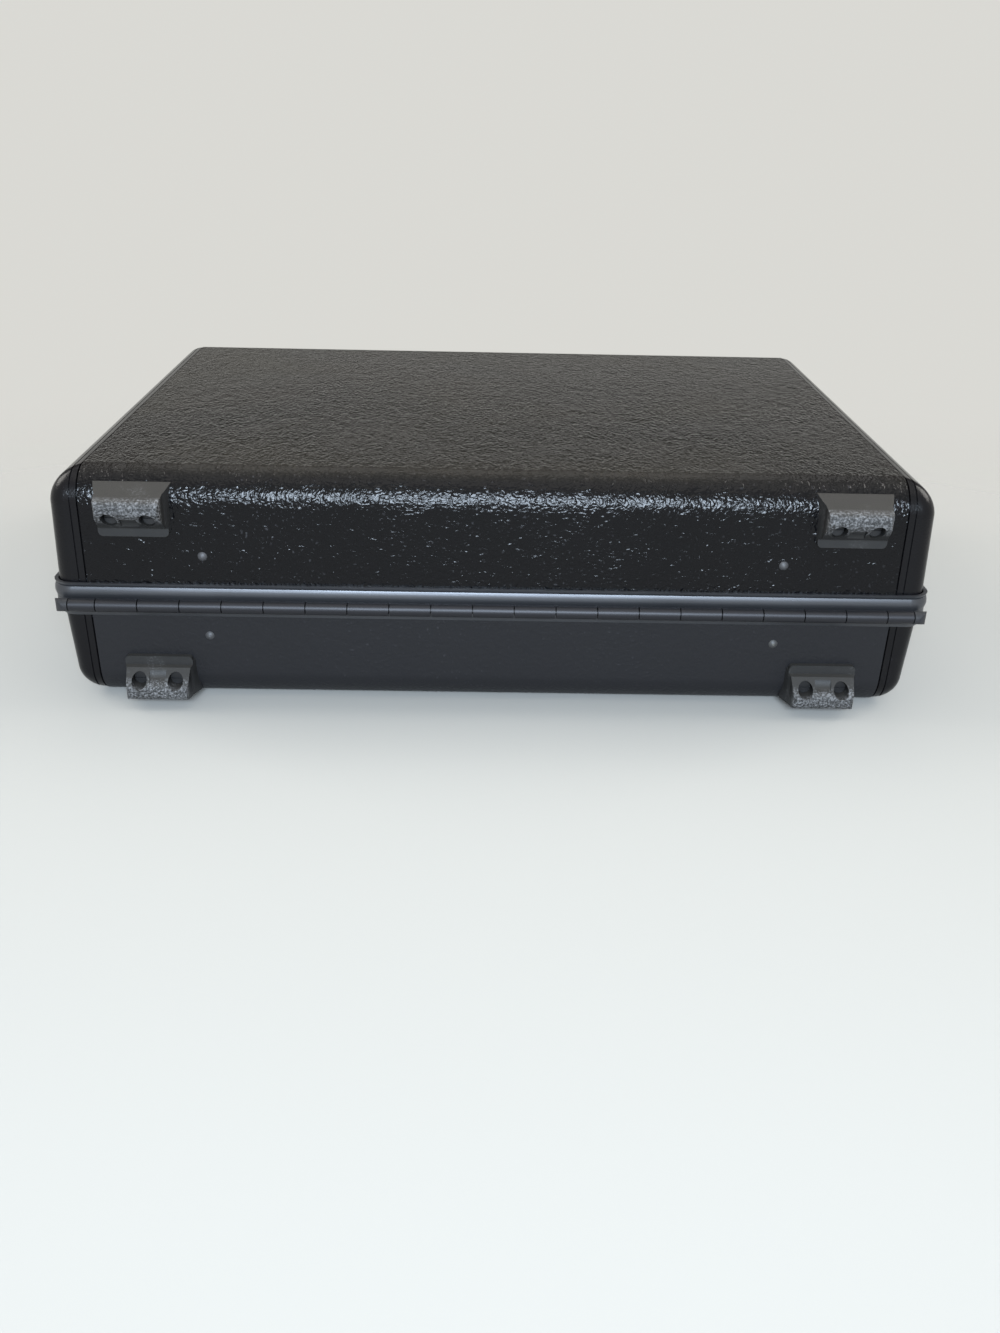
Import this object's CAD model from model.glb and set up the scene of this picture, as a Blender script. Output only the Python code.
# %% [markdown]
# A hardshell attache case, seen from its hinge side. The packed CAD model brings every piece at
# its real size and place. This file gives the pieces their finishes, adds the small work that is
# only for the eye, and sets the studio around them. Lengths are metres.

# %% Load the frame
import bmesh
import bpy
from math import cos, pi, radians, sin
from mathutils import Matrix, Vector


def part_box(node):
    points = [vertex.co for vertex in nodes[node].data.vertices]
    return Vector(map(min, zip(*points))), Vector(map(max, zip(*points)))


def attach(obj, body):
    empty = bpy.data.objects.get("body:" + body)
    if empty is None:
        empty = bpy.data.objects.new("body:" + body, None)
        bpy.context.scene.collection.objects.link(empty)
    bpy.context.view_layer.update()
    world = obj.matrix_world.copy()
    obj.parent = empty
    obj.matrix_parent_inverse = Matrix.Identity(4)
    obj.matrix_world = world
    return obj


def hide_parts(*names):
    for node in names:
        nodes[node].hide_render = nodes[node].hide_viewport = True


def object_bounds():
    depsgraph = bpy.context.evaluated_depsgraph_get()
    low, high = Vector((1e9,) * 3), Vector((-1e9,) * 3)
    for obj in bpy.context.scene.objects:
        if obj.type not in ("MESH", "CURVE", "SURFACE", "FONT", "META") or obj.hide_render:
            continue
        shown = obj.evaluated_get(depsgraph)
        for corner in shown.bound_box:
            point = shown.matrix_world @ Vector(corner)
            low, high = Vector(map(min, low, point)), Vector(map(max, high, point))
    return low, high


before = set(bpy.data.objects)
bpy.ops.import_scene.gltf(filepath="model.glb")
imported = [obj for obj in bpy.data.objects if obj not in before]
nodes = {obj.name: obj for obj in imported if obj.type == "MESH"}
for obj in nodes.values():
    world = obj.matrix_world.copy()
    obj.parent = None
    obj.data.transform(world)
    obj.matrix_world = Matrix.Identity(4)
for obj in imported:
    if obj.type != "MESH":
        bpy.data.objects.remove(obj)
cad_low, cad_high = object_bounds()

# %% [markdown]
# The camera stands behind the case, about 26 degrees above it. Its place, turn and focal length
# were fitted to the straight edges of the case, so that the picture has the same perspective.

# %% Camera
picture_height_px = 1333
focal_px = 1227.3
camera_place = Vector((0.00698, 0.7522, 0.3081))
camera_yaw = radians(1.087)
camera_pitch = radians(25.75)
camera_roll = radians(1.312)

forward = Vector(
    (
        -sin(camera_yaw) * cos(camera_pitch),
        -cos(camera_yaw) * cos(camera_pitch),
        -sin(camera_pitch),
    )
)
level_right = Vector((-cos(camera_yaw), sin(camera_yaw), 0))
level_up = level_right.cross(forward)
camera_right = cos(camera_roll) * level_right + sin(camera_roll) * level_up
camera_up = -sin(camera_roll) * level_right + cos(camera_roll) * level_up

camera_data = bpy.data.cameras.new("camera")
camera_data.sensor_width = 36
camera_data.lens = focal_px * camera_data.sensor_width / picture_height_px
camera = bpy.data.objects.new("camera", camera_data)
bpy.context.scene.collection.objects.link(camera)
turn = Matrix((camera_right, camera_up, -forward)).transposed()
camera.matrix_world = Matrix.Translation(camera_place) @ turn.to_4x4()
bpy.context.scene.camera = camera
print("lens in mm:", round(camera_data.lens, 2))

# %% [markdown]
# A material is a sum of small expressions. This class wraps a socket, so that `1 - mask * 0.3` in
# Python adds the Math nodes. Its operators are only those that the finishes need.


# %% Numbers that vary over a surface
class Value:
    """A number that varies over a surface."""

    def __init__(self, finish, socket):
        self.finish = finish
        self.socket = socket

    def math(self, operation, first, second=None):
        sockets = {0: first} if second is None else {0: first, 1: second}
        return self.finish.node("ShaderNodeMath", sockets, operation=operation)

    def __add__(self, other):
        return self.math("ADD", self, other)

    def __radd__(self, other):
        return self.math("ADD", other, self)

    def __sub__(self, other):
        return self.math("SUBTRACT", self, other)

    def __rsub__(self, other):
        return self.math("SUBTRACT", other, self)

    def __mul__(self, other):
        return self.math("MULTIPLY", self, other)

    def __truediv__(self, other):
        return self.math("DIVIDE", self, other)

    def __pow__(self, other):
        return self.math("POWER", self, other)

    def smaller(self, other):
        return self.math("MINIMUM", self, other)

    def step(self, low, high):
        """0 below low, 1 above high, and a smooth rise between them."""
        return self.finish.node(
            "ShaderNodeMapRange",
            {"Value": self, "From Min": low, "From Max": high},
            interpolation_type="SMOOTHSTEP",
        )


print("Value:", Value.__doc__)

# %% [markdown]
# A finish is a material with its shader. `node` adds one node and fills its sockets, `drive`
# fills a socket of the shader, and the other methods each stand for one kind of pattern. Uniform
# values are given when the finish is made, with underscores for the spaces in a socket's name.


# %% A material with one shader
class Finish:
    """A material with one Principled shader."""

    def __init__(self, name, **fixed):
        self.material = bpy.data.materials.new(name)
        self.material.use_nodes = True
        self.tree = self.material.node_tree
        self.shader = self.tree.nodes["Principled BSDF"]
        for socket, value in fixed.items():
            self.shader.inputs[socket.replace("_", " ")].default_value = value
        self.place = self.node("ShaderNodeTexCoord", {}, output="Object")

    def node(self, kind, sockets, output=0, **settings):
        node = self.tree.nodes.new(kind)
        for setting, value in settings.items():
            setattr(node, setting, value)
        for socket, value in sockets.items():
            self.connect(value, node.inputs[socket])
        return Value(self, node.outputs[output])

    def connect(self, value, socket):
        if isinstance(value, Value):
            self.tree.links.new(value.socket, socket)
        elif isinstance(value, tuple) and len(value) == 3 and socket.type == "RGBA":
            socket.default_value = (*value, 1)
        else:
            socket.default_value = value

    def drive(self, socket, value):
        self.connect(value, self.shader.inputs[socket])

    def blend(self, share, first, second):
        """Colour between first and second."""
        return self.node(
            "ShaderNodeMix", {0: share, 6: first, 7: second}, output=2, data_type="RGBA"
        )

    def scaled(self, factors, turn=(0, 0, 0), vector=None):
        """Coordinates, stretched and turned."""
        return self.node(
            "ShaderNodeMapping",
            {"Vector": vector or self.place, "Scale": factors, "Rotation": turn},
        )

    def noise(self, scale, detail=2.0, roughness=0.5, distortion=0.0, vector=None):
        return self.node(
            "ShaderNodeTexNoise",
            {
                "Vector": vector or self.place,
                "Scale": scale,
                "Detail": detail,
                "Roughness": roughness,
                "Distortion": distortion,
            },
        )

    def wander(self, scale, reach):
        """Object coordinates, pushed about by a coloured noise of the given reach."""
        push = self.node(
            "ShaderNodeTexNoise", {"Vector": self.place, "Scale": scale, "Detail": 1.0}, output=1
        )
        centred = self.node(
            "ShaderNodeVectorMath", {0: push, 1: (0.5, 0.5, 0.5)}, operation="SUBTRACT"
        )
        sized = self.node(
            "ShaderNodeVectorMath", {0: centred, 1: (reach, reach, reach)}, operation="MULTIPLY"
        )
        return self.node("ShaderNodeVectorMath", {0: self.place, 1: sized}, operation="ADD")

    def cells(self, scale, vector=None, feature="F1"):
        return self.node(
            "ShaderNodeTexVoronoi",
            {"Vector": vector or self.place, "Scale": scale},
            feature=feature,
        )

    def facing_up(self):
        """The z of the normal, which is 1 where the surface faces up."""
        normal = self.node("ShaderNodeNewGeometry", {}, output="Normal")
        return self.node("ShaderNodeSeparateXYZ", {0: normal}, output=2)

    def edge_wear(self, low, high):
        """1 on outer edges, from the mesh's pointiness, and 0 elsewhere."""
        pointed = self.node("ShaderNodeNewGeometry", {}, output="Pointiness")
        return pointed.step(low, high)

    def bump(self, height, depth):
        """Normal from a height of 0 to 1 that stands for depth in metres."""
        normal = self.node("ShaderNodeBump", {"Height": height, "Distance": depth, "Strength": 1.0})
        self.drive("Normal", normal)


print("Finish:", Finish.__doc__)

# %% [markdown]
# The centre panels are thermoformed sheet with a leather grain. Cells of about two millimetres, on
# coordinates that wander, give the pebbles. Two sets of drawn-out cells cross them as wrinkles,
# and a slow noise decides which set wins. Soft folds run under both, and they are the deepest.

# %% Grained sheet
dust_colour = (0.060, 0.050, 0.034)


def grained_sheet(name, dark, worn, gloss, haze, depth):
    """gloss is the clean sheet's roughness, haze the share of dust, depth that of the grain."""
    finish = Finish(name, IOR=1.46, Specular_IOR_Level=0.25)
    wandering = finish.wander(scale=48.0, reach=0.007)
    pebble = finish.cells(400.0, vector=wandering, feature="DISTANCE_TO_EDGE")
    drawn = finish.scaled((0.9, 2.3, 2.3), (0, 0.1, 0.35), wandering)
    wrinkle = finish.cells(210.0, vector=drawn, feature="DISTANCE_TO_EDGE")
    crossing = finish.scaled((1.8, 0.9, 1.2), (0.2, 0.1, -0.5), wandering)
    second = finish.cells(250.0, vector=crossing, feature="DISTANCE_TO_EDGE")
    zone = finish.noise(13.0, detail=2.0).step(0.42, 0.58)
    round_tops = pebble.step(0.0, 0.42)
    long_tops = wrinkle.step(0.0, 0.40)
    cross_tops = second.step(0.0, 0.40)
    wrinkled = long_tops * zone + cross_tops * (1 - zone)
    pores = finish.noise(2400.0, detail=2.0)
    front_to_back = finish.scaled((1.0, 0.55, 1.0))
    folds = finish.noise(215.0, detail=2.0, vector=front_to_back, distortion=1.2)
    relief = round_tops * 0.45 + wrinkled * 0.55
    finish.bump(relief + pores * 0.06 + folds * 3.3, depth=depth)
    rub = finish.noise(8.0, detail=6.0, roughness=0.65)
    speck = finish.noise(320.0, detail=4.0, roughness=0.75)
    cloud = finish.noise(5.0, detail=4.0, roughness=0.6, distortion=0.6)
    rubbed = relief.step(0.55, 0.95) * rub.step(0.40, 0.66) * speck.step(0.38, 0.6)
    settled = finish.facing_up().step(0.75, 0.99) * haze
    film = settled * (0.2 + cloud.step(0.35, 0.7) * 0.8) * (0.4 + relief * 0.6)
    tone = finish.blend(rubbed * 0.7, dark, worn)
    finish.drive("Base Color", finish.blend(film, tone, dust_colour))
    finish.drive("Roughness", gloss + rub * 0.08 + (1 - relief) * 0.06 + film * 0.25)
    return finish.material


lid_skin = grained_sheet(
    "lid_grained_sheet",
    dark=(0.0020, 0.0020, 0.0026),
    worn=(0.040, 0.040, 0.045),
    gloss=0.11,
    haze=0.32,
    depth=0.00019,
)
base_skin = grained_sheet(
    "base_grained_sheet",
    dark=(0.0105, 0.0105, 0.0120),
    worn=(0.030, 0.030, 0.034),
    gloss=0.36,
    haze=0.2,
    depth=0.00007,
)
print(lid_skin.name, base_skin.name)

# %% [markdown]
# The end caps, the plugs and the grip are injection moulded. Their grain is much finer than the
# sheet's, and years of handling have polished it, with hairline scratches in patches.

# %% Moulded plastic


def hairlines(finish, scale, turn):
    """Thin scratches: slices of a noise that is drawn out along one direction."""
    drawn = finish.scaled((scale, scale * 0.02, scale * 0.4), turn)
    streak = (finish.noise(1.0, detail=1.0, vector=drawn) - 0.5) * 60.0
    return 1 - streak.math("ABSOLUTE", streak).smaller(1.0)


def moulded_plastic(name, colour, worn, roughness, grain=0.00008):
    """worn is the colour of scratches and rubbed edges, grain the depth of the fine relief."""
    finish = Finish(name, IOR=1.48, Specular_IOR_Level=0.24)
    fine = finish.cells(900.0, vector=finish.wander(200.0, 0.002), feature="SMOOTH_F1")
    blotch = finish.noise(18.0, detail=5.0, roughness=0.6)
    marks = hairlines(finish, 500.0, (0.3, 0.2, 0.7)) * finish.noise(25.0).step(0.55, 0.7)
    specks = finish.cells(240.0).step(0.12, 0.04) * finish.noise(40.0).step(0.5, 0.62)
    wear = finish.edge_wear(0.62, 0.74) * blotch.step(0.35, 0.6)
    finish.bump(fine * 0.8 - marks * 0.5, depth=grain)
    tone = finish.blend((marks * 0.35 + specks * 0.25 + wear * 0.6).smaller(1.0), colour, worn)
    finish.drive("Base Color", tone)
    finish.drive("Roughness", roughness + blotch * 0.16 + wear * 0.1)
    return finish.material


cap_plastic = moulded_plastic(
    "end_cap_plastic", (0.0028, 0.0027, 0.0035), (0.024, 0.024, 0.027), 0.16
)
plug_plastic = moulded_plastic("plug_plastic", (0.022, 0.022, 0.024), (0.16, 0.16, 0.16), 0.42)
grip_plastic = moulded_plastic("grip_plastic", (0.012, 0.012, 0.013), (0.05, 0.05, 0.05), 0.36)
print(cap_plastic.name, plug_plastic.name, grip_plastic.name)

# %% [markdown]
# The feet are a softer, greyer plastic. The case stands on their noses, so the last millimetres
# there, found by their Y, have gone rough and pale, with a speckle where grit has bitten in.

# %% Worn feet
nose_wear_starts = cad_high.y - 0.0060
nose_wear_full = cad_high.y - 0.0028


def foot_plastic(name):
    finish = Finish(name, IOR=1.46, Specular_IOR_Level=0.35)
    coarse = finish.noise(900.0, detail=4.0, roughness=0.75)
    grit = finish.noise(1800.0, detail=2.0)
    patch = finish.noise(60.0, detail=4.0, roughness=0.6)
    reach = finish.node("ShaderNodeSeparateXYZ", {0: finish.place}, output=1)
    nose = reach.step(nose_wear_starts, nose_wear_full)
    scuffed = patch.step(0.52, 0.66) * coarse.step(0.5, 0.62)
    bitten = nose * coarse.step(0.42, 0.66)
    tone = finish.blend(patch.step(0.3, 0.75), (0.013, 0.013, 0.0135), (0.016, 0.0158, 0.0155))
    worn = (bitten * 0.80 + scuffed * 0.25).smaller(1.0)
    settled = finish.facing_up().step(0.3, 0.95) * 0.6
    dusty = finish.blend(settled, tone, (0.036, 0.033, 0.029))
    finish.drive("Base Color", finish.blend(worn, dusty, (0.180, 0.180, 0.185)))
    finish.drive("Roughness", 0.46 + worn * 0.24 + patch * 0.03)
    finish.bump(coarse * (0.15 + nose * 0.85) + grit * 0.2, depth=0.00030)
    return finish.material


foot_finish = foot_plastic("foot_plastic")
print(foot_finish.name)

# %% [markdown]
# Frames, hinge and fittings are metal under a satin finish. Along their edges it has rubbed thin,
# so the wear follows the mesh's pointed places and a patchy noise. On the hinge and the screws
# the thresholds are high, because their long flat triangles would go pale as a whole.

# %% Satin metal


def satin_metal(
    name, colour, bare, roughness=0.34, metallic=0.75, low=0.52, high=0.58, uneven=1.0
):
    """low and high are the pointiness where wear starts and is full, uneven scales the clouds."""
    finish = Finish(name)
    drawn = finish.scaled((18.0, 1400.0, 1400.0))
    brushing = finish.noise(1.0, detail=3.0, roughness=0.6, vector=drawn)
    patch = finish.noise(45.0, detail=6.0, roughness=0.65)
    dull = finish.noise(7.0, detail=3.0)
    wear = finish.edge_wear(low, high) * patch.step(0.38, 0.62)
    nick = finish.noise(420.0, detail=3.0, roughness=0.7).step(0.66, 0.74) * patch.step(0.5, 0.7)
    shown = (wear + nick * 0.5).smaller(1.0)
    cloudy = dull.step(0.3, 0.7) * 0.6 * uneven
    tone = finish.blend(cloudy, colour, tuple(c * 1.7 for c in colour))
    finish.drive("Base Color", finish.blend(shown * 0.7, tone, bare))
    finish.drive("Metallic", metallic + shown * (1 - metallic) * 0.8)
    cloudy_gloss = patch * 0.14 * uneven - wear * 0.08
    finish.drive("Roughness", roughness + (brushing - 0.5) * 0.12 + cloudy_gloss)
    finish.bump(brushing * 0.5 + patch * 0.5 * uneven - nick, depth=0.00005)
    return finish.material


frame_metal = satin_metal(
    "frame_metal", (0.060, 0.062, 0.068), (0.20, 0.20, 0.21), 0.32, low=0.56, high=0.64
)
hinge_metal = satin_metal(
    "hinge_metal",
    (0.016, 0.016, 0.019),
    (0.16, 0.16, 0.17),
    roughness=0.44,
    metallic=0.5,
    low=0.66,
    high=0.76,
    uneven=0.15,
)
fitting_metal = satin_metal("fitting_metal", (0.050, 0.051, 0.056), (0.34, 0.34, 0.34), 0.30)
screw_metal = satin_metal(
    "screw_metal",
    (0.018, 0.018, 0.019),
    (0.12, 0.12, 0.12),
    roughness=0.42,
    metallic=0.5,
    low=0.70,
    high=0.80,
    uneven=0.2,
)
dark_rivet = satin_metal(
    "dark_rivet", (0.05, 0.05, 0.053), (0.14, 0.14, 0.13), 0.50, 0.5, low=0.5, high=0.6
)
plated_steel = satin_metal("plated_steel", (0.42, 0.42, 0.41), (0.62, 0.62, 0.60), 0.28, 0.95)
dial_brass = satin_metal("dial_brass", (0.50, 0.38, 0.16), (0.72, 0.58, 0.30), 0.30, 0.95)
print("metals:", frame_metal.name, hinge_metal.name, fitting_metal.name, screw_metal.name)

# %% [markdown]
# The linings are a brushed woven cloth on card. Waves along the three axes make the weave, so that
# it shows on every wall, and a noise breaks up their rows.

# %% Lining cloth
wave_period = 0.314  # of the Wave Texture at scale 1


def woven_cloth(name, colour, light, pitch):
    finish = Finish(name, Roughness=0.85, Specular_IOR_Level=0.15, Sheen_Weight=0.35)
    place = finish.wander(40.0, 0.0008)
    threads = []
    for direction in ("X", "Y", "Z"):
        threads.append(
            finish.node(
                "ShaderNodeTexWave",
                {"Vector": place, "Scale": wave_period / pitch, "Distortion": 0.6, "Detail": 1.0},
                output=1,
                wave_type="BANDS",
                bands_direction=direction,
            )
        )
    weave = (threads[0] + threads[1] + threads[2]) / 3.0
    fuzz = finish.noise(1500.0, detail=3.0, roughness=0.7)
    slow = finish.noise(12.0, detail=3.0)
    finish.bump(weave * 0.8 + fuzz * 0.4, depth=0.00035)
    share = (weave * 0.6 + fuzz * 0.3 + slow * 0.25).smaller(1.0)
    finish.drive("Base Color", finish.blend(share, colour, light))
    return finish.material


lining_cloth = woven_cloth("lining_cloth", (0.040, 0.038, 0.035), (0.150, 0.140, 0.128), 0.0016)
print(lining_cloth.name)

# %% [markdown]
# The pocket is split hide: the same pebbles as the sheet, smaller and brown black. The thread and
# the paint of the numbers are plain, so they share the moulded plastic's recipe.

# %% Pocket hide


def pocket_hide(name):
    finish = Finish(name, IOR=1.45)
    pebble = finish.cells(700.0, vector=finish.wander(90.0, 0.004), feature="DISTANCE_TO_EDGE")
    tops = (pebble * 3.0).smaller(1.0) ** 0.7
    fold = finish.noise(16.0, detail=5.0, roughness=0.6)
    finish.bump(tops * 0.7 + fold * 0.6, depth=0.00022)
    tone = finish.blend(tops * fold, (0.018, 0.014, 0.012), (0.05, 0.038, 0.03))
    finish.drive("Base Color", tone)
    finish.drive("Roughness", 0.5 + fold * 0.15)
    return finish.material


hide = pocket_hide("pocket_hide")
thread_finish = moulded_plastic("thread", (0.10, 0.085, 0.07), (0.2, 0.17, 0.14), 0.6, 0.00005)
numeral_finish = moulded_plastic("numeral_paint", (0.010, 0.010, 0.010), (0.04, 0.04, 0.04), 0.5)
print(hide.name, thread_finish.name, numeral_finish.name)

# %% [markdown]
# Every CAD node keeps its shape and takes one of the finishes. The longest matching beginning of
# a node's name decides.

# %% Finishes on the CAD nodes
finish_of = {
    "lid_panel": lid_skin,
    "base_panel": base_skin,
    "lid_end_cap": cap_plastic,
    "base_end_cap": cap_plastic,
    "lid_frame": frame_metal,
    "base_frame": frame_metal,
    "hinge_leaf": hinge_metal,
    "hinge_pin": screw_metal,
    "hinge_end_plugs": plug_plastic,
    "foot_lid": foot_finish,
    "foot_base": foot_finish,
    "foot_screws": screw_metal,
    "foot_nuts": plated_steel,
    "stay_": plated_steel,
    "wall_rivets": dark_rivet,
    "handle_rivets": dark_rivet,
    "handle_grip": grip_plastic,
    "handle_ferrules": fitting_metal,
    "handle_brackets": fitting_metal,
    "handle_pins": screw_metal,
    "latch_": fitting_metal,
    "hasp_pins": screw_metal,
    "lock_case": plated_steel,
    "dial_shafts": screw_metal,
    "dial_": dial_brass,
    "base_lining": lining_cloth,
    "lid_lining": lining_cloth,
    "lid_pocket": hide,
}


def dress(name, node):
    matches = [start for start in finish_of if name.startswith(start)]
    material = finish_of[max(matches, key=len)]
    node.data.materials.clear()
    node.data.materials.append(material)


for name, node in nodes.items():
    dress(name, node)
print("dressed", len(nodes), "nodes")

# %% [markdown]
# Pieces that are only for the eye are plain meshes with their place in their points. One helper
# makes the object, points its faces outwards, sets the finish and lets it ride on its body. Two
# more serve pieces made of two like layers of points, the second turned over.

# %% A piece from points and faces


def new_piece(name, points, faces, material, body, smooth=True):
    mesh = bpy.data.meshes.new(name)
    mesh.from_pydata([tuple(point) for point in points], [], faces)
    work = bmesh.new()
    work.from_mesh(mesh)
    bmesh.ops.remove_doubles(work, verts=work.verts, dist=1e-6)
    bmesh.ops.recalc_face_normals(work, faces=work.faces)
    work.to_mesh(mesh)
    work.free()
    mesh.polygons.foreach_set("use_smooth", [smooth] * len(mesh.polygons))
    mesh.materials.append(material)
    piece = bpy.data.objects.new(name, mesh)
    bpy.context.scene.collection.objects.link(piece)
    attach(piece, body)
    return piece


def flipped(face, shift):
    """The same face on the second layer, which starts shift points later, turned over."""
    return tuple(shift + corner for corner in reversed(face))


def joined(rim, shift):
    """Faces between the rims of two layers."""
    return [(a, b, shift + b, shift + a) for a, b in zip(rim, rim[1:] + rim[:1])]


# %% [markdown]
# The linings are cloth on thin board, pressed into the shells, so they are trays: rounded
# rectangles stacked up the wall, drawn in round the bottom edge, and closed by a flat. Their
# outline comes from the CAD solid's own box. The cloth is turned over a soft rolled rim.

# %% Rounded outlines
corner_steps = 7
wall_steps = 4
edge_steps = 8
corner_growth = 0.6  # of the corner's radius, by the length that the bottom edge draws in
flat_shares = (0.995, 0.98)  # two more rings on the flat, as shares of the last one


def rounded_outline(half_x, half_y, radius):
    """Points round a rectangle with round corners, anticlockwise."""
    points = []
    for corner, (sign_x, sign_y) in enumerate(((1, 1), (-1, 1), (-1, -1), (1, -1))):
        for step in range(corner_steps + 1):
            angle = (corner + step / corner_steps) * pi / 2
            points.append(
                (
                    sign_x * (half_x - radius) + radius * cos(angle),
                    sign_y * (half_y - radius) + radius * sin(angle),
                )
            )
    return points


def tray_rings(half_x, half_y, wall, draft, corner, edge, open_z, toward):
    """Rings of a tray from its rim to its flat; toward is +1 where the flat lies above."""
    rings = []
    for step in range(wall_steps + 1):
        rise = (wall - edge) * step / wall_steps
        lean = rise * draft
        rings.append((half_x - lean, half_y - lean, corner, open_z + toward * rise))
    for step in range(1, edge_steps + 1):
        angle = step / edge_steps * pi / 2
        draw = (wall - edge) * draft + edge * (1 - cos(angle))
        rise = wall - edge + edge * sin(angle)
        radius = corner + draw * corner_growth
        rings.append((half_x - draw, half_y - draw, radius, open_z + toward * rise))
    half_x, half_y, radius, z = rings[-1]
    rings += [(half_x * share, half_y * share, radius, z) for share in flat_shares]
    return rings


def skin_of(rings):
    """Points and faces of stacked rings, the last closed by one face."""
    outlines = [rounded_outline(x, y, radius) for x, y, radius, _ in rings]
    count = len(outlines[0])
    points = [(x, y, rings[i][3]) for i, outline in enumerate(outlines) for x, y in outline]
    faces = []
    for ring in range(len(rings) - 1):
        for place in range(count):
            after = (place + 1) % count
            low, high = ring * count, (ring + 1) * count
            faces.append((low + place, low + after, high + after, high + place))
    faces.append(tuple((len(rings) - 1) * count + place for place in range(count)))
    return points, faces


print("points in an outline:", len(rounded_outline(0.2, 0.15, 0.005)))

# %% [markdown]
# The tray gets its thickness from two skins, an outer and an inner one, joined at the rim by the
# turned cloth. Both skins come from the same kind of rings, so the wall is even.

# %% Linings
lining_gap = 1e-4  # between the tray and the CAD solid's box
lining_thickness = 0.0010
lining_corners = {"outer": 0.0045, "inner": 0.0040, "rim": 0.0042}
lining_edge = {"lid": 0.0136, "base": 0.0127}
lining_draft = {"lid": 0.0175, "base": 0.0524}


def cloth_tray(name, node, body, toward):
    """The tray that stands for a lining node, and the path of its rim."""
    low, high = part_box(node)
    half_x = (high[0] - low[0]) / 2 - lining_gap
    half_y = (high[1] - low[1]) / 2 - lining_gap
    wall = high[2] - low[2] - lining_gap
    open_z = low[2] if toward > 0 else high[2]
    edge = lining_edge[body]
    draft = lining_draft[body]
    corner = lining_corners["outer"]
    outer = tray_rings(half_x, half_y, wall, draft, corner, edge, open_z, toward)
    thin = lining_thickness
    corner = lining_corners["inner"]
    inner = tray_rings(
        half_x - thin, half_y - thin, wall - thin, draft, corner, edge - thin, open_z, toward
    )
    outer_points, outer_faces = skin_of(outer)
    inner_points, inner_faces = skin_of(inner)
    shift = len(outer_points)
    rim_count = 4 * (corner_steps + 1)
    faces = outer_faces + [flipped(face, shift) for face in inner_faces]
    faces += joined(list(range(rim_count)), shift)
    tray = new_piece(name, outer_points + inner_points, faces, lining_cloth, body)
    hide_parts(node)
    rim_z = open_z + toward * thin
    outline = rounded_outline(half_x - thin, half_y - thin, lining_corners["rim"])
    return tray, [(x, y, rim_z) for x, y in outline]


lid_tray, lid_rim = cloth_tray("lid_cloth_tray", "lid_lining", "lid", 1)
base_tray, base_rim = cloth_tray("base_cloth_tray", "base_lining", "base", -1)
for tray in (lid_tray, base_tray):
    print(tray.name, "faces", len(tray.data.polygons))

# %% [markdown]
# The document pocket's front is a hide-covered board. It bows out a little in its middle, as
# papers have pressed it, thins towards its edges, and has a round thumb notch in its open edge.

# %% Pocket board
pocket_low, pocket_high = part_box("lid_pocket")
pocket_notch = 0.036
pocket_board = 0.0020
pocket_bow = 0.0008
straight_steps = 24
notch_steps = 40
board_rows = 40
edge_steepness = 60  # the board thins within 1/60 of its size from an edge
edge_thinning = 0.5


def pocket_front_edge(x):
    """Y of the board's open edge, with the round notch in its middle."""
    return pocket_low[1] + max(0.0, pocket_notch**2 - x**2) ** 0.5


def pocket_stations():
    """X of the board's columns, closer together round the notch."""
    half = pocket_high[0]
    straight = half - pocket_notch
    outside = [-half + straight * step / straight_steps for step in range(straight_steps)]
    notch = [-pocket_notch * cos(pi * step / notch_steps) for step in range(notch_steps + 1)]
    return outside + notch + [-x for x in reversed(outside)]


def pocket_panel():
    """Two layers of points, bowed out and thinned, closed round their border."""
    stations = pocket_stations()
    columns, rows = len(stations) - 1, board_rows
    middle_z = pocket_low[2] + pocket_board / 2
    points, faces = [], []
    for face_side in (-1, 1):
        for row in range(rows + 1):
            for column in range(columns + 1):
                x = stations[column]
                across = (x - pocket_low[0]) / (pocket_high[0] - pocket_low[0])
                along = row / rows
                near = pocket_front_edge(x)
                y = near + (pocket_high[1] - near) * along
                from_edge = min(across, 1 - across, along, 1 - along) * edge_steepness
                thin = 1 - edge_thinning * max(0, 1 - from_edge) ** 2
                crown = pocket_bow * sin(pi * across) * sin(pi * along)
                z = middle_z + face_side * (pocket_board / 2 - pocket_bow / 2) * thin
                points.append((x, y, z - crown + pocket_bow / 2))
    width = columns + 1
    layer = width * (rows + 1)
    for row in range(rows):
        for column in range(columns):
            a = row * width + column
            quad = (a, a + 1, a + 1 + width, a + width)
            faces += [quad, flipped(quad, layer)]
    border = list(range(columns))
    border += [columns + row * width for row in range(rows)]
    border += [rows * width + columns - column for column in range(columns)]
    border += [(rows - row) * width for row in range(rows)]
    return new_piece("pocket_panel", points, faces + joined(border, layer), hide, "lid")


panel = pocket_panel()
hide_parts("lid_pocket")
print("faces of the pocket's board:", len(panel.data.polygons))

# %% [markdown]
# A folded gusset closes the pocket at its back and its two ends. It is a zigzag strip between the
# board and the lid's lining, so that the pocket can open like a bellows.

# %% Pocket gusset
gusset_inset = 0.0012
gusset_front = 0.004  # from the board's open edge
gusset_fold = 0.0026
gusset_thickness = 0.0005
gusset_overlap = 0.0002  # into the board
gusset_levels = 5


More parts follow.
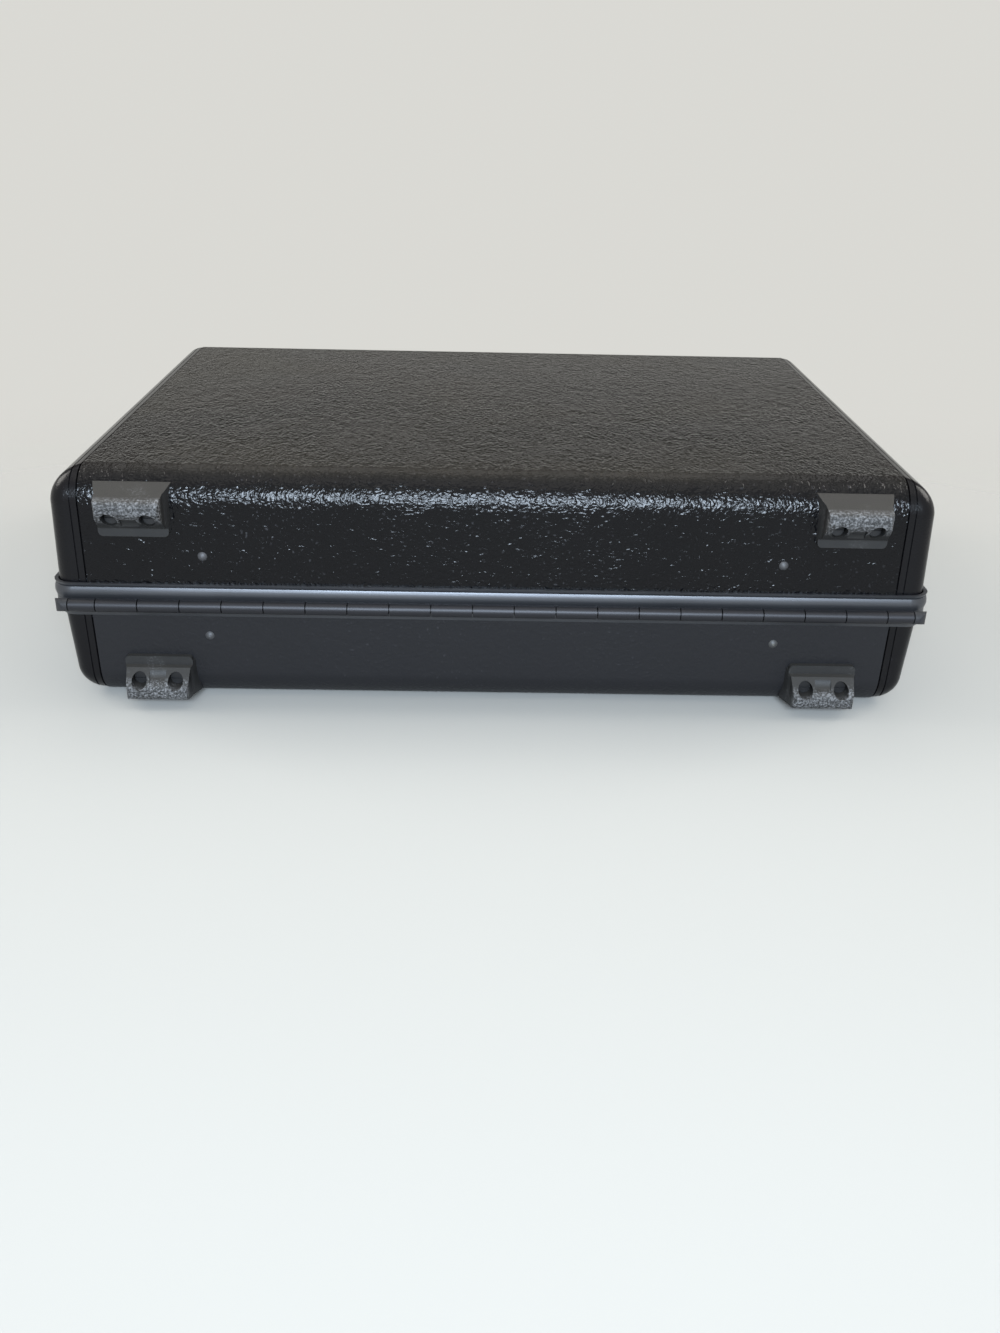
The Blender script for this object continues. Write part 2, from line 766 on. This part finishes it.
def pocket_gusset():
    """Levels of points along a route round the two ends and the back, every second one inside."""
    left, right = pocket_low[0] + gusset_inset, pocket_high[0] - gusset_inset
    back, front = pocket_high[1] - gusset_inset, pocket_low[1] + gusset_front
    route = [(left, front, 1, 0), (left, back, 1, -1), (right, back, -1, -1), (right, front, -1, 0)]
    corners, levels = len(route), gusset_levels
    low_z = pocket_low[2] + pocket_board - gusset_overlap
    high_z = pocket_high[2] - gusset_overlap
    points, faces = [], []
    for thickness in (0, gusset_thickness):
        for level in range(levels):
            inward = (gusset_fold if level % 2 else 0.0) + thickness
            z = low_z + (high_z - low_z) * level / (levels - 1)
            for x, y, toward_x, toward_y in route:
                points.append((x + toward_x * inward, y + toward_y * inward, z))
    layer = levels * corners
    for level in range(levels - 1):
        for step in range(corners - 1):
            a = level * corners + step
            quad = (a, a + 1, a + corners + 1, a + corners)
            faces += [quad, flipped(quad, layer)]
    rim = list(range(corners))
    rim += [corners * level + corners - 1 for level in range(1, levels)]
    rim += [corners * (levels - 1) + step for step in reversed(range(corners - 1))]
    rim += [corners * level for level in reversed(range(1, levels - 1))]
    faces += joined(rim, layer)
    return new_piece("pocket_gusset", points, faces, hide, "lid", smooth=False)


gusset = pocket_gusset()
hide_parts("lid_pocket")
print("faces of the pocket's gusset:", len(gusset.data.polygons))

# %% [markdown]
# Rolled rims and stitches follow a closed path, so Geometry Nodes make them. The path is a mesh
# of edges only. Its tree's inputs are set by their identifiers before the first evaluation, and
# the result is kept as a plain mesh, without the modifier.

# %% Work along a path


def path_piece(name, path, build, settings, material, body):
    """Run the tree that build makes on a closed path, and keep the result as a plain mesh."""
    mesh = bpy.data.meshes.new(name)
    edges = [(step, (step + 1) % len(path)) for step in range(len(path))]
    mesh.from_pydata([tuple(point) for point in path], edges, [])
    guide = bpy.data.objects.new(name + "_guide", mesh)
    bpy.context.scene.collection.objects.link(guide)
    tree = build(settings, material)
    modifier = guide.modifiers.new("work", "NODES")
    modifier.node_group = tree
    for item in tree.interface.items_tree:
        if item.in_out == "INPUT" and item.name in settings:
            modifier[item.identifier] = settings[item.name]
    evaluated = guide.evaluated_get(bpy.context.evaluated_depsgraph_get())
    made = bpy.data.meshes.new_from_object(evaluated)
    guide.modifiers.remove(modifier)
    bpy.data.objects.remove(guide)
    made.name = name
    made.polygons.foreach_set("use_smooth", [True] * len(made.polygons))
    piece = bpy.data.objects.new(name, made)
    bpy.context.scene.collection.objects.link(piece)
    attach(piece, body)
    return piece


print("paths can be worked")

# %% [markdown]
# Both trees turn the path into a curve. One lays a round cord along it. The other sets a short
# thread at each pitch, turned to the path's direction. Both end in Realize Instances and Set
# Material.

# %% Cord and stitch trees
cord_sides = 8
thread_sides = 6


def path_tree(name, settings):
    """A tree with its inputs named after settings, and its path turned into a curve."""
    tree = bpy.data.node_groups.new(name, "GeometryNodeTree")
    tree.interface.new_socket("Path", in_out="INPUT", socket_type="NodeSocketGeometry")
    for setting, value in settings.items():
        socket = tree.interface.new_socket(setting, in_out="INPUT", socket_type="NodeSocketFloat")
        socket.default_value = value
    tree.interface.new_socket("Mesh", in_out="OUTPUT", socket_type="NodeSocketGeometry")
    entry = tree.nodes.new("NodeGroupInput")
    leave = tree.nodes.new("NodeGroupOutput")
    curve = tree.nodes.new("GeometryNodeMeshToCurve")
    tree.links.new(entry.outputs["Path"], curve.inputs["Mesh"])
    return tree, entry, leave, curve


def close_tree(tree, leave, geometry, material):
    realize = tree.nodes.new("GeometryNodeRealizeInstances")
    paint = tree.nodes.new("GeometryNodeSetMaterial")
    paint.inputs["Material"].default_value = material
    tree.links.new(geometry, realize.inputs[0])
    tree.links.new(realize.outputs[0], paint.inputs["Geometry"])
    tree.links.new(paint.outputs["Geometry"], leave.inputs["Mesh"])
    return tree


def cord_tree(settings, material):
    tree, entry, leave, curve = path_tree("cord", settings)
    circle = tree.nodes.new("GeometryNodeCurvePrimitiveCircle")
    circle.inputs["Resolution"].default_value = cord_sides
    sweep = tree.nodes.new("GeometryNodeCurveToMesh")
    tree.links.new(entry.outputs["Radius"], circle.inputs["Radius"])
    tree.links.new(curve.outputs[0], sweep.inputs["Curve"])
    tree.links.new(circle.outputs["Curve"], sweep.inputs["Profile Curve"])
    return close_tree(tree, leave, sweep.outputs["Mesh"], material)


def stitch_tree(settings, material):
    tree, entry, leave, curve = path_tree("stitches", settings)
    spaced = tree.nodes.new("GeometryNodeCurveToPoints")
    spaced.mode = "LENGTH"
    thread = tree.nodes.new("GeometryNodeMeshCylinder")
    thread.inputs["Vertices"].default_value = thread_sides
    place = tree.nodes.new("GeometryNodeInstanceOnPoints")
    turn = tree.nodes.new("FunctionNodeAlignRotationToVector")
    turn.axis = "Z"
    tree.links.new(curve.outputs[0], spaced.inputs["Curve"])
    tree.links.new(entry.outputs["Pitch"], spaced.inputs["Length"])
    tree.links.new(entry.outputs["Stitch"], thread.inputs["Depth"])
    tree.links.new(entry.outputs["Radius"], thread.inputs["Radius"])
    tree.links.new(spaced.outputs["Points"], place.inputs["Points"])
    tree.links.new(spaced.outputs["Tangent"], turn.inputs["Vector"])
    tree.links.new(turn.outputs[0], place.inputs["Rotation"])
    tree.links.new(thread.outputs["Mesh"], place.inputs["Instance"])
    return close_tree(tree, leave, place.outputs["Instances"], material)


print("cord and stitch trees are ready")

# %% [markdown]
# The cloth's rolled rim, the stitches a few millimetres below it, and the stitched border of the
# pocket. Each gets its path from the piece that it is sewn to.

# %% Rims and stitches
rim_cord = {"Radius": 0.0006}
stitch = {"Pitch": 0.0042, "Stitch": 0.0028, "Radius": 0.00024}
seam_drop = 0.0035  # from the rim
seam_gap = 0.0001  # from the lining's wall
seam_corner = 0.004
border_inset = 0.005
border_height = 0.00022  # middle of the thread, from the pocket's lowest point

for body, rim, toward in (("lid", lid_rim, 1), ("base", base_rim, -1)):
    path_piece(body + "_rim_cord", rim, cord_tree, rim_cord, lining_cloth, body)
    seam_z = rim[0][2] + toward * seam_drop
    half_x, half_y = max(p[0] for p in rim), max(p[1] for p in rim)
    lean = seam_drop * lining_draft[body] + seam_gap
    seam = [(x, y, seam_z) for x, y in rounded_outline(half_x - lean, half_y - lean, seam_corner)]
    path_piece(body + "_rim_stitches", seam, stitch_tree, stitch, thread_finish, body)

border = []
seam_notch = pocket_notch + border_inset
for x in pocket_stations():
    x *= 1 - border_inset / pocket_high[0]
    seam_y = pocket_low[1] + max(border_inset**2, seam_notch**2 - x**2) ** 0.5
    border.append((x, seam_y, pocket_low[2] + border_height))
border.append((border[-1][0], pocket_high[1] - border_inset, border[-1][2]))
border.append((border[0][0], pocket_high[1] - border_inset, border[0][2]))
path_piece("pocket_stitches", border, stitch_tree, stitch, thread_finish, "lid")

# %% [markdown]
# Each number wheel has ten flats, one of which faces the front. A digit is a text outline turned
# into a thin mesh, and laid on its flat. A wheel's ten digits are one mesh, which turns with it.

# %% Numbers on the wheels
wheel_flats = 10
digit_height = 0.0026
digit_lift = 0.00006


def digit_shape(digit):
    """Points and faces of one digit, centred on the origin in X and Y."""
    outline = bpy.data.curves.new("digit", "FONT")
    outline.body = str(digit)
    outline.size = digit_height
    outline.align_x = "CENTER"
    outline.align_y = "CENTER"
    outline.extrude = digit_lift / 2
    outline.resolution_u = 3
    holder = bpy.data.objects.new("digit", outline)
    bpy.context.scene.collection.objects.link(holder)
    mesh = bpy.data.meshes.new_from_object(
        holder.evaluated_get(bpy.context.evaluated_depsgraph_get())
    )
    bpy.data.objects.remove(holder)
    return [v.co.copy() for v in mesh.vertices], [tuple(p.vertices) for p in mesh.polygons]


digit_shapes = [digit_shape(digit) for digit in range(wheel_flats)]


def wheel_numbers(node, turned):
    """Digits of one wheel; its 0 lies that many flats round from the front."""
    low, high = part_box(node)
    centre = Vector([(a + b) / 2 for a, b in zip(low, high)])
    flat = (high[2] - low[2]) / 2 * cos(pi / wheel_flats)
    points, faces = [], []
    for digit, (shape, rings) in enumerate(digit_shapes):
        angle = (digit + turned) * 2 * pi / wheel_flats
        turn = Matrix.Rotation(angle, 4, "X") @ Matrix.Rotation(pi / 2, 4, "X")
        start = len(points)
        for point in shape:
            points.append(centre + turn @ (point + Vector((0, 0, flat + digit_lift / 2))))
        faces += [tuple(start + corner for corner in ring) for ring in rings]
    numbers = new_piece(node + "_numbers", points, faces, numeral_finish, node, smooth=False)


turned_by = (0, 3, 6, 1, 8, 4)
wheels = sorted(name for name in nodes if name.startswith("dial_") and name != "dial_shafts")
for wheel, turned in zip(wheels, turned_by):
    wheel_numbers(wheel, turned)
print("numbered wheels:", wheels)

# %% [markdown]
# The studio is a pale floor that fades into a pale surround, so that no horizon shows. The floor
# is opaque in a wide pool round the case, and thins out to nothing at the pool's edge.

# %% Floor
floor_half_size = 1.6
floor_colour = (0.41, 0.405, 0.385)
pool_half_width, pool_half_depth = 0.95, 0.80
pool_shift = -0.24  # as a share of the half depth


def studio_floor():
    half = floor_half_size
    mesh = bpy.data.meshes.new("floor")
    mesh.from_pydata(
        [(-half, -half, 0), (half, -half, 0), (half, half, 0), (-half, half, 0)], [], [(0, 1, 2, 3)]
    )
    floor = bpy.data.objects.new("floor", mesh)
    bpy.context.scene.collection.objects.link(floor)
    paint = Finish("floor_paint", Roughness=0.9, Specular_IOR_Level=0.1)
    cloud = paint.noise(1.5, detail=2.0)
    paler = tuple(share * 0.97 for share in floor_colour)
    paint.drive("Base Color", paint.blend(cloud, floor_colour, paler))
    shares = (1 / pool_half_width, 1 / pool_half_depth, 1.0)
    squeezed = paint.node(
        "ShaderNodeMapping",
        {"Vector": paint.place, "Location": (0, pool_shift, 0), "Scale": shares},
    )
    from_centre = paint.node("ShaderNodeVectorMath", {0: squeezed}, output=1, operation="LENGTH")
    paint.drive("Alpha", 1 - from_centre.step(0.34, 1.0))
    mesh.materials.append(paint.material)


studio_floor()
print("floor:", 2 * floor_half_size, "metres square")

# %% [markdown]
# A wide low softbox, the window, stands behind the camera: its mirror image is the cold band along
# the case's rounded back edge. Two boxes at the sides and one overhead are warmer and fill in, and
# a weak one beyond the front lights the handle and the latches.

# %% Lamps
back_edge = (0, 0.16, 0.12)
warm = (1.0, 0.97, 0.92)


def softbox(name, place, aim, width, height, power, colour):
    """An area lamp that faces aim; power is in watts."""
    lamp = bpy.data.lights.new(name, "AREA")
    lamp.shape = "RECTANGLE"
    lamp.size = width
    lamp.size_y = height
    lamp.energy = power
    lamp.color = colour
    holder = bpy.data.objects.new(name, lamp)
    bpy.context.scene.collection.objects.link(holder)
    holder.location = place
    holder.rotation_euler = (Vector(aim) - Vector(place)).to_track_quat("-Z", "Y").to_euler()


softbox("window_box", (0.0, 1.85, 0.86), back_edge, 1.00, 0.50, 68, (0.72, 0.85, 1.0))
softbox("left_box", (-1.8, -0.3, 1.5), back_edge, 1.2, 1.2, 24, warm)
softbox("right_box", (1.8, -0.3, 1.5), back_edge, 1.2, 1.2, 24, warm)
softbox("front_box", (0.0, -1.3, 1.9), back_edge, 2.0, 1.2, 8, (1.0, 0.98, 0.95))
softbox("ceiling_box", (0.0, 0.45, 1.9), back_edge, 1.6, 1.0, 5, warm)

# %% [markdown]
# The surround is pale, and dims upwards beyond the case's front. The flat top mirrors that side at
# a grazing angle, so its grain shows as light and dark.

# %% Surround
surround_colour = (0.70, 0.695, 0.66)
dim_colour = (0.10, 0.095, 0.085)
dims_by_height = (2, 0.05, 0.34)  # axis of the direction, and where it starts and is full
dims_by_front = (1, -0.25, -0.75)


def studio_world():
    world = bpy.data.worlds.new("studio")
    bpy.context.scene.world = world
    world.use_nodes = True
    tree = world.node_tree
    direction = tree.nodes.new("ShaderNodeTexCoord")
    split = tree.nodes.new("ShaderNodeSeparateXYZ")
    shares = []
    for axis, low, high in (dims_by_height, dims_by_front):
        ramp = tree.nodes.new("ShaderNodeMapRange")
        ramp.interpolation_type = "SMOOTHSTEP"
        ramp.inputs["From Min"].default_value = low
        ramp.inputs["From Max"].default_value = high
        tree.links.new(split.outputs[axis], ramp.inputs["Value"])
        shares.append(ramp.outputs[0])
    both = tree.nodes.new("ShaderNodeMath")
    both.operation = "MULTIPLY"
    mix = tree.nodes.new("ShaderNodeMix")
    mix.data_type = "RGBA"
    mix.inputs[6].default_value = (*surround_colour, 1)
    mix.inputs[7].default_value = (*dim_colour, 1)
    tree.links.new(direction.outputs["Generated"], split.inputs[0])
    tree.links.new(shares[0], both.inputs[0])
    tree.links.new(shares[1], both.inputs[1])
    tree.links.new(both.outputs[0], mix.inputs[0])
    tree.links.new(mix.outputs[2], tree.nodes["Background"].inputs["Color"])


studio_world()
bpy.context.scene.view_settings.view_transform = "Standard"
print("surround:", bpy.context.scene.world.name)

# %% [markdown]
# The visual model has to stay in the CAD model's box, so both boxes are written down.
